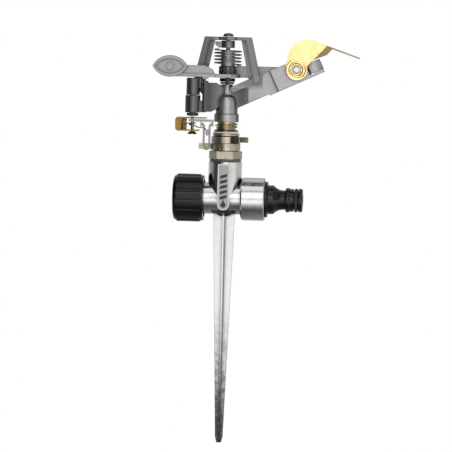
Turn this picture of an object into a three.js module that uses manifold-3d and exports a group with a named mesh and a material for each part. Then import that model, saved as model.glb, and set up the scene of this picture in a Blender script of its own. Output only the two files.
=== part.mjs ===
// Impact (pulsating) sprinkler on a metal ground spike.
// Units are millimetres, +Z is up. The origin is on the vertical axis where the spike meets the
// round foot of its casting, which is at ground level once the spike is pushed in.
// The cross pipe runs along X: the capped outlet is at -X and the hose inlet at +X.
// The head is drawn with its nozzle towards +X. "Front" is the side facing -Y.
import * as THREE from "three";
import { mergeVertices } from "three/addons/utils/BufferGeometryUtils.js";
import Module from "manifold-3d";

const wasm = await Module();
wasm.setup();

// ---------------------------------------------------------------- driving dimensions
const GAP = 0.3; // clearance left between pieces that touch
const ROUND = 32; // facets of a large round piece
const SMALL = 16; // facets of a small round piece
const CURVE_STEPS = 5; // straight steps along a curved part of an outline

// Spike casting
const SPIKE_LENGTH = 169.2;
const BLADE_HALF_WIDTH = 8;
const BLADE_TIP_HALF_WIDTH = 2.8;
const RIB_THICKNESS = 1.7;
const TUBE_R = 12.5;
const TUBE_TOP = 41.6;
const TUBE_BORE_R = 10.5;
const TUBE_BORE_FLOOR = 20;
const PIPE_Z = 13.8; // height of the cross pipe's axis
const PIPE_R = 11.8;
const PASSAGE_R = 7.5;
const SPIGOT_R = 13.1; // male thread of the capped outlet
const SPIGOT_END = -34;
const SPIGOT_SHOULDER = -16.6;
const BOSS_R = 16;
const BOSS_START = 12.6;
const BOSS_END = 30.3;
const BOSS_BORE_R = 13.5;
const BOSS_BORE_FLOOR = 16.5;
const LABEL_WIDTH = 9;
const LABEL_TOP = 39.8;
const LABEL_BOTTOM = 5.4;
const LABEL_FACE_Y = -13.6;

// End cap
const CAP_R = 17.9;
const CAP_OUTER_X = -38.2;
const CAP_OPEN_X = -15.4;
const CAP_WALL = 3.4;
const CAP_FACE = 2.4; // thickness of the closed end
const CAP_RIBS = 18;
const CAP_RIB_HEIGHT = 0.9;
const CAP_RIB_WIDTH = 3;

// Swivel bearing
const HEX_CORNER_R = 12.4;
const HEX_BOTTOM = 43.2;
const HEX_TOP = 49.3;
const SLEEVE_R = 9.2;
const SLEEVE_TOP = 62.3;
const SLEEVE_RIM_R = 10;
const SLEEVE_RIM_BOTTOM = 60.3;
const NIPPLE_BOTTOM = 27.2;
const NIPPLE_THREAD_R = 10.2;
const BEARING_TUBE_R = 6.7;
const BEARING_TUBE_BORE_R = 4.8;
const BEARING_TUBE_BOTTOM = 22.4;
const BEARING_TUBE_TOP = 82;
const COLLAR_R = 10.9;
const COLLAR_BORE_R = 9.5;

// Head body
const SKIRT_BOTTOM = 71;
const SKIRT_TOP = 77;
const SKIRT_R = 9.2;
const BARREL_R = 8.2;
const BARREL_TOP = 88;
const POST_R = 4.2;
const POST_TOP = 99;
const BOOM_ANGLE = THREE.MathUtils.degToRad(25);
const NECK_END = 11.5; // where the neck starts to widen into the boom
const BOOM_X = 16.4; // where the lower edge of the boom's side panel starts
const BOOM_Z = 85.4;
const BOOM_HALF = 6.4; // half thickness across Y, round the nozzle
const ROOT_HALF = 5.3; // and nearer the riser
const NECK_HALF = 3.5; // and where it meets the riser
const STEP_START = 22.4; // distances along the boom between which it gets thicker
const STEP_END = 24.6;
const BOOM_HEIGHT = 15.6;
const BOOM_END = 50.4; // distance along the boom where the cheeks stop
const LIP_END = 61; // and where the floor below the jet stops
const JET_H = 8.2; // height of the jet's axis over the boom's lower edge
const PIN_R = 1.6; // hammer pivot pin
const BRIDGE_TOP = 134.3;
const BRIDGE_PLATE = 2.5;
const BRIDGE_HALF_X = 17.3;
const LEG_SLOPE = 0.232; // sideways lean of the legs
const LEG_FLANGE = 4.4;
const LEG_WEB = 3.5;
const BOOM_LEG_FOOT_Z = 101.6; // the leg that stands on the boom
const FREE_LEG_FOOT_Z = 100.8;

// Trip mechanism
const TRIP_X = -24.5;
const TRIP_Y = -11;
const WIRE_HINGE_Z = 69;

// Hammer arm
const ARM_BOTTOM = 104.1;
const ARM_TOP = 112.8;
const LIMB_INNER = 9.2; // distance of each limb's inner face from the XZ plane
const LIMB_OUTER = 12.7;
const WEIGHT_X = -42;
const WEIGHT_Z = 111.7;

// Deflector flap
const FLAP_X = 51.9;
const FLAP_Z = 111.2;
const EAR_INNER = 6.9;
const EAR_OUTER = 7.9;

// ---------------------------------------------------------------- colours
const finish = (color, roughness, metalness) =>
  new THREE.MeshStandardMaterial({ color, roughness, metalness });
const zinc = finish(0xc9cac8, 0.25, 1);
const plated = finish(0xa8a69c, 0.35, 1);
const headGrey = finish(0x86878a, 0.5, 0.4);
const armGrey = finish(0x97989a, 0.5, 0.3);
const blackPlastic = finish(0x1b1b1c, 0.4, 0);
const rubber = finish(0x0e0e0e, 0.7, 0);
const brass = finish(0xd0a848, 0.25, 1);
const steel = finish(0x9a9a98, 0.3, 1);
const whitePlastic = finish(0xd9d4c6, 0.6, 0);
const fibre = finish(0x4b4a36, 0.8, 0);

// ---------------------------------------------------------------- making solids
function solidOf(geometry) {
  const bare = geometry.index ? geometry : mergeVertices(geometry);
  bare.deleteAttribute("normal");
  bare.deleteAttribute("uv");
  const welded = mergeVertices(bare, 1e-4);
  const mesh = new wasm.Mesh({
    numProp: 3,
    vertProperties: new Float32Array(welded.attributes.position.array),
    triVerts: new Uint32Array(welded.index.array),
  });
  return new wasm.Manifold(mesh);
}

function geometryOf(solid) {
  const { numProp, numVert, vertProperties, triVerts } = solid.getMesh();
  const position = new Float32Array(numVert * 3);
  for (let i = 0; i < numVert; i++)
    position.set(vertProperties.subarray(i * numProp, i * numProp + 3), i * 3);
  return new THREE.BufferGeometry()
    .setAttribute("position", new THREE.BufferAttribute(position, 3))
    .setIndex(new THREE.BufferAttribute(triVerts, 1));
}

const join = (...solids) => solids.reduce((a, b) => a.add(b));
const cut = (solid, ...tools) => tools.reduce((a, b) => a.subtract(b), solid);

// A turned solid about the Z axis. The profile is a closed outline of [radius, z] corners.
function turned(profile, facets = ROUND) {
  const closed = [...profile, profile[0]];
  const area = closed
    .slice(1)
    .reduce((sum, [r, z], i) => sum + closed[i][0] * z - r * closed[i][1], 0);
  const onAxis = profile[0][0] === 0 && profile.at(-1)[0] === 0;
  let corners = onAxis ? profile : closed;
  if (area < 0) corners = [...corners].reverse();
  const points = corners.map(([r, z]) => new THREE.Vector2(r, z));
  return solidOf(new THREE.LatheGeometry(points, facets).rotateX(Math.PI / 2));
}

const disc = (radius, from, to, facets = ROUND) =>
  turned([[0, from], [radius, from], [radius, to], [0, to]], facets);
const ring = (inner, outer, from, to, facets = ROUND) =>
  turned([[inner, from], [outer, from], [outer, to], [inner, to]], facets);

const box = (x0, x1, y0, y1, z0, z1) =>
  solidOf(
    new THREE.BoxGeometry(x1 - x0, y1 - y0, z1 - z0).translate(
      (x0 + x1) / 2, (y0 + y1) / 2, (z0 + z1) / 2,
    ),
  );

const shapeOf = (outline) =>
  outline instanceof THREE.Shape
    ? outline
    : new THREE.Shape(outline.map(([a, b]) => new THREE.Vector2(a, b)));

// An outline in plan (X, Y), raised from one height to another.
const raised = (outline, from, to) =>
  solidOf(
    new THREE.ExtrudeGeometry(shapeOf(outline), {
      depth: to - from, bevelEnabled: false, curveSegments: CURVE_STEPS,
    }).translate(0, 0, from),
  );

// An outline in side view (X, Z), spread across Y.
const spread = (outline, from, to) =>
  solidOf(
    new THREE.ExtrudeGeometry(shapeOf(outline), {
      depth: to - from, bevelEnabled: false, curveSegments: CURVE_STEPS,
    }).rotateX(Math.PI / 2).translate(0, to, 0),
  );

// An outline in end view (Y, Z), spread along X.
const spreadAcross = (outline, from, to) => spread(outline, from, to).rotate([0, 0, 90]);

// Turns a solid made about Z so that its axis lies along +X or along +Y.
const alongX = (solid) => solid.rotate([0, 90, 0]);
const alongY = (solid) => solid.rotate([-90, 0, 0]);

// A round wire that follows a curve.
function wire(curve, radius, steps) {
  const section = new THREE.Shape();
  section.absarc(0, 0, radius, 0, 2 * Math.PI);
  return new THREE.ExtrudeGeometry(section, {
    steps, curveSegments: 3, bevelEnabled: false, extrudePath: curve,
  });
}

const point = (x, y, z) => new THREE.Vector3(x, y, z);

// A point of the boom's own frame: s along the boom, h above its lower edge.
const onBoom = (s, h) => [
  BOOM_X + s * Math.cos(BOOM_ANGLE) - h * Math.sin(BOOM_ANGLE),
  BOOM_Z + s * Math.sin(BOOM_ANGLE) + h * Math.cos(BOOM_ANGLE),
];
const boomBlock = (s0, s1, h0, h1, half) =>
  spread([onBoom(s0, h0), onBoom(s1, h0), onBoom(s1, h1), onBoom(s0, h1)], -half, half);
const BOOM_DEGREES = THREE.MathUtils.radToDeg(BOOM_ANGLE);
// Something drawn level, with distance along the boom as X, tipped up to the boom's slope.
const tipped = (solid) => solid.rotate([0, -BOOM_DEGREES, 0]).translate([BOOM_X, 0, BOOM_Z]);
// Something turned about Z, laid along the jet's axis and starting at distance s.
const onJet = (solid, s) => {
  const [x, z] = onBoom(s, JET_H);
  return solid.rotate([0, 90 - BOOM_DEGREES, 0]).translate([x, 0, z]);
};

// ---------------------------------------------------------------- the assembly
const sprinkler = new THREE.Group();

function place(name, shape, material, position = [0, 0, 0]) {
  const mesh = new THREE.Mesh(shape.isBufferGeometry ? shape : geometryOf(shape), material);
  mesh.name = name;
  mesh.position.set(...position);
  sprinkler.add(mesh);
}

// ---------------------------------------------------------------- spike casting
function spikeCasting() {
  const tipStart = -SPIKE_LENGTH + 4;
  const bladeSide = [
    [-BLADE_HALF_WIDTH, 6], [-BLADE_HALF_WIDTH, -2], [-BLADE_TIP_HALF_WIDTH, tipStart],
    [-BLADE_TIP_HALF_WIDTH * 0.6, -SPIKE_LENGTH], [BLADE_TIP_HALF_WIDTH * 0.6, -SPIKE_LENGTH],
    [BLADE_TIP_HALF_WIDTH, tipStart], [BLADE_HALF_WIDTH, -2], [BLADE_HALF_WIDTH, 6],
  ];
  const rib = spread(bladeSide, -RIB_THICKNESS / 2, RIB_THICKNESS / 2);
  const blade = join(rib, rib.rotate([0, 0, 90]));

  const foot = [0, 18, 36, 54, 72, 90].map((degrees) => {
    const a = THREE.MathUtils.degToRad(degrees);
    return [TUBE_R * Math.sin(a), TUBE_R - TUBE_R * Math.cos(a)];
  });
  const tube = turned([...foot, [TUBE_R, TUBE_TOP - 0.5], [TUBE_R - 0.5, TUBE_TOP], [0, TUBE_TOP]]);
  const pipe = alongX(disc(PIPE_R, SPIGOT_SHOULDER, BOSS_START + 2));
  const spigot = alongX(disc(SPIGOT_R, SPIGOT_END, SPIGOT_SHOULDER));
  const boss = alongX(
    turned([[0, BOSS_START], [BOSS_R - 1, BOSS_START], [BOSS_R, BOSS_START + 1],
      [BOSS_R, BOSS_END - 0.6], [BOSS_R - 0.6, BOSS_END], [0, BOSS_END]]),
  );
  const cross = join(pipe, spigot, boss).translate([0, 0, PIPE_Z]);

  const half = LABEL_WIDTH / 2;
  const plate = new THREE.Shape();
  plate.moveTo(half, LABEL_TOP);
  plate.lineTo(-half, LABEL_TOP);
  plate.lineTo(-half, LABEL_BOTTOM + half);
  plate.absarc(0, LABEL_BOTTOM + half, half, Math.PI, 2 * Math.PI);
  const label = spread(plate, LABEL_FACE_Y, -8);

  const bores = join(
    disc(TUBE_BORE_R, TUBE_BORE_FLOOR, TUBE_TOP + 1),
    disc(PASSAGE_R, PIPE_Z, TUBE_BORE_FLOOR + 1, SMALL),
    alongX(disc(PASSAGE_R, SPIGOT_END - 1, BOSS_END, 24)).translate([0, 0, PIPE_Z]),
    alongX(disc(BOSS_BORE_R, BOSS_BORE_FLOOR, BOSS_END + 1)).translate([0, 0, PIPE_Z]),
  );
  return cut(join(tube, cross, label, blade), bores);
}
place("spike_casting", spikeCasting(), zinc);

// ---------------------------------------------------------------- capped outlet
function endCap() {
  const rim = CAP_R - CAP_RIB_HEIGHT;
  const inner = rim - CAP_WALL;
  const chamfer = 1.6;
  const shell = turned([
    [0, CAP_OUTER_X], [rim - chamfer, CAP_OUTER_X], [rim, CAP_OUTER_X + chamfer], [rim, CAP_OPEN_X],
    [inner, CAP_OPEN_X], [inner, CAP_OUTER_X + CAP_FACE], [0, CAP_OUTER_X + CAP_FACE],
  ], 36);
  const half = CAP_RIB_WIDTH / 2;
  const rib = box(rim - 1.5, CAP_R, -half, half, CAP_OUTER_X + 2.2, CAP_OPEN_X - 1.4);
  const ribs = Array.from({ length: CAP_RIBS }, (_, i) => rib.rotate([0, 0, (360 * i) / CAP_RIBS]));
  return alongX(join(shell, ...ribs));
}
const onPipe = [0, 0, PIPE_Z];
place("end_cap", endCap(), blackPlastic, onPipe);
const CAP_WASHER_X = CAP_OUTER_X + CAP_FACE + GAP;
place("end_cap_washer", alongX(ring(8, 13, CAP_WASHER_X, SPIGOT_END - GAP, 24)), rubber, onPipe);

// ---------------------------------------------------------------- hose inlet
const FLANGE_END = 32.4;
const NOSE_END = 58.5;
const INLET_BORE_R = 4.8;
function hoseAdapter() {
  return alongX(
    turned([
      [INLET_BORE_R, 18.4], [13.2, 18.4], [13.2, BOSS_END + GAP], [13.4, BOSS_END + GAP],
      [13.2, FLANGE_END], [10.9, FLANGE_END + 0.4], [10.9, 36.8], [8.6, 39.2], [7.3, 42],
      [7.3, 45.6], [9.2, 46.4], [9.2, 48.4], [8.5, 49.2], [8.5, 51.8], [6.9, 52.2],
      [6.9, 55], [8.6, 55.3], [8.8, 56.2], [8.8, 57.8], [8, NOSE_END], [INLET_BORE_R, NOSE_END],
    ], 24),
  );
}
place("hose_adapter", hoseAdapter(), blackPlastic, onPipe);
place("inlet_washer", alongX(ring(7.8, 13, BOSS_BORE_FLOOR + GAP, 18.1, 24)), rubber, onPipe);
const oRing = turned([
  [7.2, 52.7], [7.6, 52.4], [8.6, 52.6], [8.9, 53.6], [8.6, 54.6], [7.6, 54.8], [7.2, 54.5],
], 20);
place("adapter_o_ring", alongX(oRing), rubber, onPipe);

// ---------------------------------------------------------------- swivel bearing
place("nipple_gasket", ring(10.5, 11.8, TUBE_TOP + GAP, HEX_BOTTOM - GAP), fibre);

function bearingNipple() {
  const hex = Array.from({ length: 6 }, (_, i) => {
    const a = (i * Math.PI) / 3;
    return [HEX_CORNER_R * Math.cos(a), HEX_CORNER_R * Math.sin(a)];
  });
  const body = turned([
    [0, NIPPLE_BOTTOM], [NIPPLE_THREAD_R - 0.8, NIPPLE_BOTTOM], [NIPPLE_THREAD_R, NIPPLE_BOTTOM + 0.8],
    [NIPPLE_THREAD_R, HEX_BOTTOM + 1], [SLEEVE_R, HEX_BOTTOM + 1], [SLEEVE_R, SLEEVE_RIM_BOTTOM],
    [SLEEVE_RIM_R, SLEEVE_RIM_BOTTOM + 0.3], [SLEEVE_RIM_R, SLEEVE_TOP], [0, SLEEVE_TOP],
  ]);
  const bore = disc(BEARING_TUBE_R + GAP, NIPPLE_BOTTOM - 1, SLEEVE_TOP + 1, 24);
  return cut(join(body, raised(hex, HEX_BOTTOM, HEX_TOP)), bore);
}
place("bearing_nipple", bearingNipple(), plated);

const FLANGE_R = 9.3; // flange at the foot of the bearing tube
const FLANGE_TOP = BEARING_TUBE_BOTTOM + 1.8;
place("bearing_tube", turned([
  [BEARING_TUBE_BORE_R, BEARING_TUBE_BOTTOM], [FLANGE_R, BEARING_TUBE_BOTTOM], [FLANGE_R, FLANGE_TOP],
  [BEARING_TUBE_R, FLANGE_TOP], [BEARING_TUBE_R, BEARING_TUBE_TOP],
  [BEARING_TUBE_BORE_R, BEARING_TUBE_TOP],
], 24), brass);
const SLIDE_R = BEARING_TUBE_R + GAP; // bore of what slides on the bearing tube
place("lower_rubber_washer", ring(SLIDE_R, FLANGE_R, 24.5, 25.5, 24), rubber);
place("lower_slip_washer", ring(SLIDE_R, FLANGE_R, 25.8, 26.9, 24), whitePlastic);
place("upper_slip_washer", ring(SLIDE_R, 9.5, SLEEVE_TOP + GAP, 63.6, 24), whitePlastic);
const cup = turned([[SLIDE_R, 63.9], [9.2, 63.9], [9, 64.5], [7.9, 65.4], [SLIDE_R, 65.4]], 24);
place("spring_cup", cup, steel);

// A cylindrical coil of round wire.
class Coil extends THREE.Curve {
  constructor(radius, bottom, top, turns, start) {
    super();
    Object.assign(this, { radius, bottom, top, turns, start });
  }
  getPoint(t) {
    const a = this.start + 2 * Math.PI * this.turns * t;
    const height = this.bottom + (this.top - this.bottom) * t;
    return point(this.radius * Math.cos(a), this.radius * Math.sin(a), height);
  }
}
place("bearing_spring", wire(new Coil(8, 66.4, 70, 1.75, -2.6), 0.6, 30), steel);

// ---------------------------------------------------------------- trip collars
// A spring clip round the sleeve: a split band with bent-out ears, each from one point to another.
function tripCollar(from, to, slot, ears) {
  const band = cut(
    ring(COLLAR_BORE_R, COLLAR_R, from, to),
    box(COLLAR_BORE_R - 2, COLLAR_R + 2, -1.2, 1.2, from - 1, to + 1).rotate([0, 0, slot]),
  );
  const plates = ears.map(({ angle, reach, lean, drop = 0 }) =>
    box(0, reach, -0.6, 0.6, from + drop, to)
      .rotate([0, 0, lean])
      .translate([COLLAR_R - 0.9, 0, 0])
      .rotate([0, 0, angle]),
  );
  return join(band, ...plates);
}
place("upper_trip_collar", tripCollar(55.3, 60, -66, [
  { angle: -58, reach: 6.8, lean: 24 },
  { angle: -14, reach: 7.4, lean: 0, drop: 0.6 },
]), plated);
place("lower_trip_collar", tripCollar(49.7, 54.9, 262, [
  { angle: 182, reach: 10.2, lean: 0, drop: 0.7 },
  { angle: 254, reach: 3.4, lean: 0 },
]), plated);

// ---------------------------------------------------------------- head body
function headBody() {
  const riser = turned([
    [0, SKIRT_BOTTOM], [SKIRT_R, SKIRT_BOTTOM], [SKIRT_R, SKIRT_TOP - 0.4],
    [SKIRT_R - 0.4, SKIRT_TOP], [BARREL_R, SKIRT_TOP], [BARREL_R, BARREL_TOP - 2],
    [BARREL_R - 1, BARREL_TOP + 1.4], [POST_R + 0.4, BARREL_TOP + 3.4], [POST_R, BARREL_TOP + 3.4],
    [POST_R, POST_TOP], [0, POST_TOP],
  ]);

  // Boom: a box that steps out to its full thickness round the nozzle, joined to the riser by a
  // neck that widens in plan.
  const slope = Math.tan(BOOM_ANGLE);
  const panelTop = BOOM_HEIGHT / Math.cos(BOOM_ANGLE);
  const panel = spread([
    [BOOM_X, BOOM_Z], onBoom(BOOM_END, 0), onBoom(BOOM_END, BOOM_HEIGHT), [BOOM_X, BOOM_Z + panelTop],
  ], -ROOT_HALF, ROOT_HALF);
  const stepPlan = (end) => [
    [STEP_START, -ROOT_HALF], [STEP_END, -BOOM_HALF], [end, -BOOM_HALF],
    [end, BOOM_HALF], [STEP_END, BOOM_HALF], [STEP_START, ROOT_HALF],
  ];
  const step = tipped(raised(stepPlan(BOOM_END), 0, BOOM_HEIGHT));
  const floor = join(
    boomBlock(17, STEP_END, -1.2, 0.4, ROOT_HALF),
    tipped(raised(stepPlan(LIP_END), -1.2, 0.4)),
  );
  const neckSide = spread([
    [2, BOOM_Z - (BOOM_X - 2) * slope], [BOOM_X + 0.5, BOOM_Z + 0.5 * slope],
    [BOOM_X + 0.5, BOOM_Z + panelTop + 0.5 * slope], [2, BOOM_Z + panelTop - (BOOM_X - 2) * slope],
  ], -10, 10);
  const neckPlan = raised([
    [1, -NECK_HALF], [NECK_END, -NECK_HALF], [BOOM_X, -ROOT_HALF], [BOOM_X + 1, -ROOT_HALF],
    [BOOM_X + 1, ROOT_HALF], [BOOM_X, ROOT_HALF], [NECK_END, NECK_HALF], [1, NECK_HALF],
  ], 70, 115);
  const neck = neckSide.intersect(neckPlan);
  const shoulder = boomBlock(-8, 8, 11.5, BOOM_HEIGHT + 0.6, 5.4)
    .intersect(box(3, 30, -9, 9, 80, 110));

  // Bridge: two leaning legs with a wide outer flange and a thin inner web, tied by a top plate.
  // Each foot is cut off parallel to the boom.
  const xAt = (z) => BRIDGE_HALF_X + (BRIDGE_TOP - z) * LEG_SLOPE;
  const legSide = (outer, inner, foot) => [
    [xAt(BRIDGE_TOP) - outer, BRIDGE_TOP], [xAt(foot) - outer, foot - outer * slope],
    [xAt(foot) - inner, foot - inner * slope], [xAt(BRIDGE_TOP) - inner, BRIDGE_TOP],
  ];
  const flangeTaper = (footHalf) =>
    spreadAcross([
      [-4.8, BRIDGE_TOP + 1], [-5.6, 106], [-footHalf, 98], [-footHalf, 90],
      [footHalf, 90], [footHalf, 98], [5.6, 106], [4.8, BRIDGE_TOP + 1],
    ], -40, 40);
  const leg = (foot, footHalf) =>
    join(
      spread(legSide(0, LEG_FLANGE, foot), -9, 9).intersect(flangeTaper(footHalf)),
      spread(legSide(LEG_FLANGE - 0.5, LEG_FLANGE + LEG_WEB, foot - 2), -2.6, 2.6),
    );
  const legs = join(leg(BOOM_LEG_FOOT_Z, 6.9), leg(FREE_LEG_FOOT_Z, 5.4).mirror([1, 0, 0]));
  const plateBottom = BRIDGE_TOP - BRIDGE_PLATE;
  const plate = join(
    box(-BRIDGE_HALF_X, BRIDGE_HALF_X, -4.8, 4.8, plateBottom, BRIDGE_TOP),
    disc(8.6, plateBottom, BRIDGE_TOP, 10),
  );
  const backWeb = spread([
    [-24.4, 103], [-17.6, 103], [-15, 98.8], [-2, 98.8], [-2, 82], [-8, 82], [-22.5, 95],
  ], -2.4, 2.4);

  // Trip housing and the walls that carry it, in front of the riser on the side away from the nozzle.
  const housing = disc(5.6, 77.7, 90.4, 24).translate([TRIP_X, TRIP_Y, 0]);
  const link = box(-23, -14.6, -13.6, -8.6, 77.9, 86.6);
  const prow = join(
    raised([[-17.3, -14.2], [-15.8, -15.6], [-14.2, -15], [-14.2, -10], [-17.3, -10]], 78.4, 101.4),
    box(-17.6, -13.2, -14.6, -10, 99.9, 101.4),
  );
  const wallPlan = raised([[-15.2, -15.6], [-1, -1.6], [-1, 2.2], [-4, 2.2], [-16.5, -11.4]], 70, 110);
  const wallSide = spread([
    [-17, 78.4], [-11, 78.4], [-8, 80], [0, 87], [0, 98.8], [-6.5, 98.8], [-7.5, 100], [-17, 100],
  ], -20, 20);
  const wall = wallPlan.intersect(wallSide);

  const solid = join(riser, neck, panel, step, shoulder, floor, legs, plate, backWeb, housing, link,
    prow, wall);
  return cut(solid,
    disc(BEARING_TUBE_R + GAP, SKIRT_BOTTOM - 1, BEARING_TUBE_TOP + GAP, 24),
    disc(5, BEARING_TUBE_TOP, 85, SMALL),
    onJet(disc(2.4, -16, 27, 12), 0),
    onJet(disc(4.6, 26, 45, SMALL), 0),
    onJet(disc(5, 41, 52, SMALL), 0),
    disc(PIN_R + GAP, 89.5, BRIDGE_TOP + 1, 12),
    alongY(disc(2.3, -12, 12, 12)).translate([FLAP_X, 0, FLAP_Z]),
    disc(2.8, 70, 95, 12).translate([TRIP_X, TRIP_Y, 0]),
  );
}
place("head_body", headBody(), headGrey);

place("nozzle", onJet(turned([[2.6, 28], [4.3, 28], [4.3, 40.7], [2, 40.7], [2, 37]], SMALL), 0), brass);

// ---------------------------------------------------------------- deflector flap
function deflectorFlap() {
  const eye = new THREE.Shape();
  eye.absarc(0, 0, 8.1, 0, 2 * Math.PI);
  const neck = [
    [-8.4, 1.5], [-6.9, 10.2], [-4.9, 15], [-2, 18.8], [2.4, 21.4], [7.7, 22.6], [10, 22.4], [17.3, 20],
    [26.9, 16.6], [22, 11.4], [15.8, 9], [12, 7.4], [9.6, 4.5], [8.4, 0],
  ];
  const nearEar = join(spread(eye, -EAR_OUTER, -EAR_INNER), spread(neck, -EAR_OUTER, -EAR_INNER));
  const strap = [
    [-8.4, 0], [-6.9, 10.2], [-2, 18.8], [7.7, 22.6], [12, 21.6], [8, 16], [2.5, 8], [2.5, 0],
  ];
  const farEar = join(spread(eye, EAR_INNER, EAR_OUTER), spread(strap, EAR_INNER, EAR_OUTER));
  const plate = spread([[7.7, 22.6], [7.7, 21.6], [9.6, 21.4], [46.2, 8.9], [46.5, 9.8], [10, 22.4]],
    -EAR_OUTER, EAR_OUTER);
  const hole = alongY(disc(2.3, -12, 12, 12));
  return cut(join(nearEar, farEar, plate), hole);
}
place("deflector_flap", deflectorFlap(), brass, [FLAP_X, 0, FLAP_Z]);

const HEAD_START = EAR_OUTER + GAP;
const rivet = turned([
  [0, 5.1], [2, 5.1], [2, HEAD_START], [3.5, HEAD_START], [3.2, 8.8], [0, 8.8],
], SMALL);
place("near_flap_rivet", rivet.rotate([90, 0, 0]), steel, [FLAP_X, 0, FLAP_Z]);
place("far_flap_rivet", rivet.rotate([-90, 0, 0]), steel, [FLAP_X, 0, FLAP_Z]);

// ---------------------------------------------------------------- hammer arm and its pivot
// A pointed oval (two arcs) of the given length and height, in its own side view.
function lens(length, height) {
  const radius = (length ** 2 / 4 + (height / 2) ** 2) / height;
  const half = Math.asin(length / 2 / radius);
  const outline = new THREE.Shape();
  outline.absarc(0, height / 2 - radius, radius, Math.PI / 2 - half, Math.PI / 2 + half);
  outline.absarc(0, radius - height / 2, radius, 1.5 * Math.PI - half, 1.5 * Math.PI + half);
  return outline;
}

function hammerArm() {
  const ledgeTop = 106.6; // top of the flange round the hub and of the ledge along the near limb
  const hub = turned([
    [0, 103.9], [9.5, 103.9], [9.5, ledgeTop], [6, ledgeTop], [6, 112.6], [5.3, 112.6],
    [5.3, 124.4], [0, 124.4],
  ], 24);
  const leftLimb = join(
    spread([
      [-33, 106], [-33, ARM_TOP], [-16, ARM_TOP], [-10.4, 110], [-8.6, ledgeTop], [3, ledgeTop],
      [3, ARM_BOTTOM], [-33, ARM_BOTTOM],
    ], -LIMB_OUTER + 0.7, -LIMB_INNER),
    box(-38, -8, -LIMB_OUTER, -LIMB_INNER, ARM_BOTTOM, ledgeTop),
    box(-17.4, -13.4, -LIMB_OUTER, -LIMB_INNER, 102.6, ARM_BOTTOM + 1),
    box(-4, 4, -LIMB_OUTER + 0.7, 0, ARM_BOTTOM, ledgeTop),
  );
  const nub = alongY(disc(2.9, -LIMB_OUTER - 0.4, -LIMB_OUTER + 1, SMALL));
  const weight = cut(
    spread(lens(26.2, 16.2), -LIMB_OUTER - 1, -LIMB_INNER + 0.6),
    spread(lens(21.8, 11), -LIMB_OUTER - 2, -LIMB_OUTER + 0.2),
  ).add(nub).translate([WEIGHT_X, 0, WEIGHT_Z]);
  const rightLimb = join(
    spread([
      [-3, ARM_BOTTOM], [56, ARM_BOTTOM], [63, 108.6], onBoom(61, 1), onBoom(61, 9.2), onBoom(51, 9.2),
      [54, ARM_TOP], [-3, ARM_TOP],
    ], LIMB_INNER, LIMB_OUTER),
    box(-4, 4, 0, LIMB_OUTER - 0.7, ARM_BOTTOM, ledgeTop),
  );
  // Spoon: a curved vane across the jet, from the far limb round to the near side.
  const vane = new THREE.Shape();
  vane.moveTo(52, -5.9);
  vane.quadraticCurveTo(56, -6.6, 61, -4.2);
  vane.quadraticCurveTo(61.4, 3, 58, LIMB_OUTER);
  vane.lineTo(53, LIMB_OUTER);
  vane.quadraticCurveTo(60.4, 5, 58.6, -3.4);
  vane.quadraticCurveTo(56, -5.2, 52, -4.9);
  const spoon = tipped(raised(vane, 1, 9.2));
  const bore = disc(PIN_R + GAP, 100, 126, 12);
  return cut(join(hub, leftLimb, weight, rightLimb, spoon), bore);
}
place("hammer_arm", hammerArm(), armGrey);
place("arm_bush", ring(PIN_R + GAP, 5.8, 101, 103.6, 20), blackPlastic);
place("arm_washer", ring(PIN_R + GAP, 5.2, POST_TOP + GAP, 100.7, 20), rubber);
place("pivot_pin", disc(PIN_R, 90, 134.2, 12), steel);
const dome = turned([[0, 134.6], [3.9, 134.6], [3.9, 135.6], [2.8, 136.8], [0, 137.3]], SMALL);
place("pin_cap", dome, headGrey);
place("spring_adjuster", cut(
  join(
    disc(5, 126.1, BRIDGE_TOP - BRIDGE_PLATE - GAP, SMALL),
    spread([[-9.6, 128.6], [-9.6, 130.8], [0, 130.8], [0, 126.3], [-7, 126.3]], -1.9, 1.9),
  ),
  disc(PIN_R + GAP, 120, 134, 12),
), headGrey);

// Torsion spring round the hub, with its lower end turned down beside the hub's disc.
class TorsionSpring extends THREE.Curve {
  getPoint(t) {
    const turns = 4.75;
    const tail = 0.1;
    if (t < tail) return point(7.6, -6.3, 107.4 + (113.6 - 107.4) * (t / tail));
    const u = (t - tail) / (1 - tail);
    const a = Math.atan2(-6.3, 7.6) + 2 * Math.PI * turns * u;
    return point(9.87 * Math.cos(a), 9.87 * Math.sin(a), 113.6 + (125.2 - 113.6) * u);
  }
}
place("arm_spring", wire(new TorsionSpring(), 0.55, 78), steel);

// ---------------------------------------------------------------- trip mechanism
const atTrip = (solid) => solid.translate([TRIP_X, TRIP_Y, 0]);

place("trip_cam", atTrip(join(
  turned([[0, 75], [2.4, 75], [2.4, 90.7], [5, 90.7], [5, 103], [4.6, 103.4], [0, 103.4]], SMALL),
  box(0, 5.8, -1.5, 1.5, 96, 103.3),
)), headGrey);
place("trip_bush", atTrip(ring(2.7, 4.3, 75.2, 77.4, SMALL)), rubber);

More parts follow.
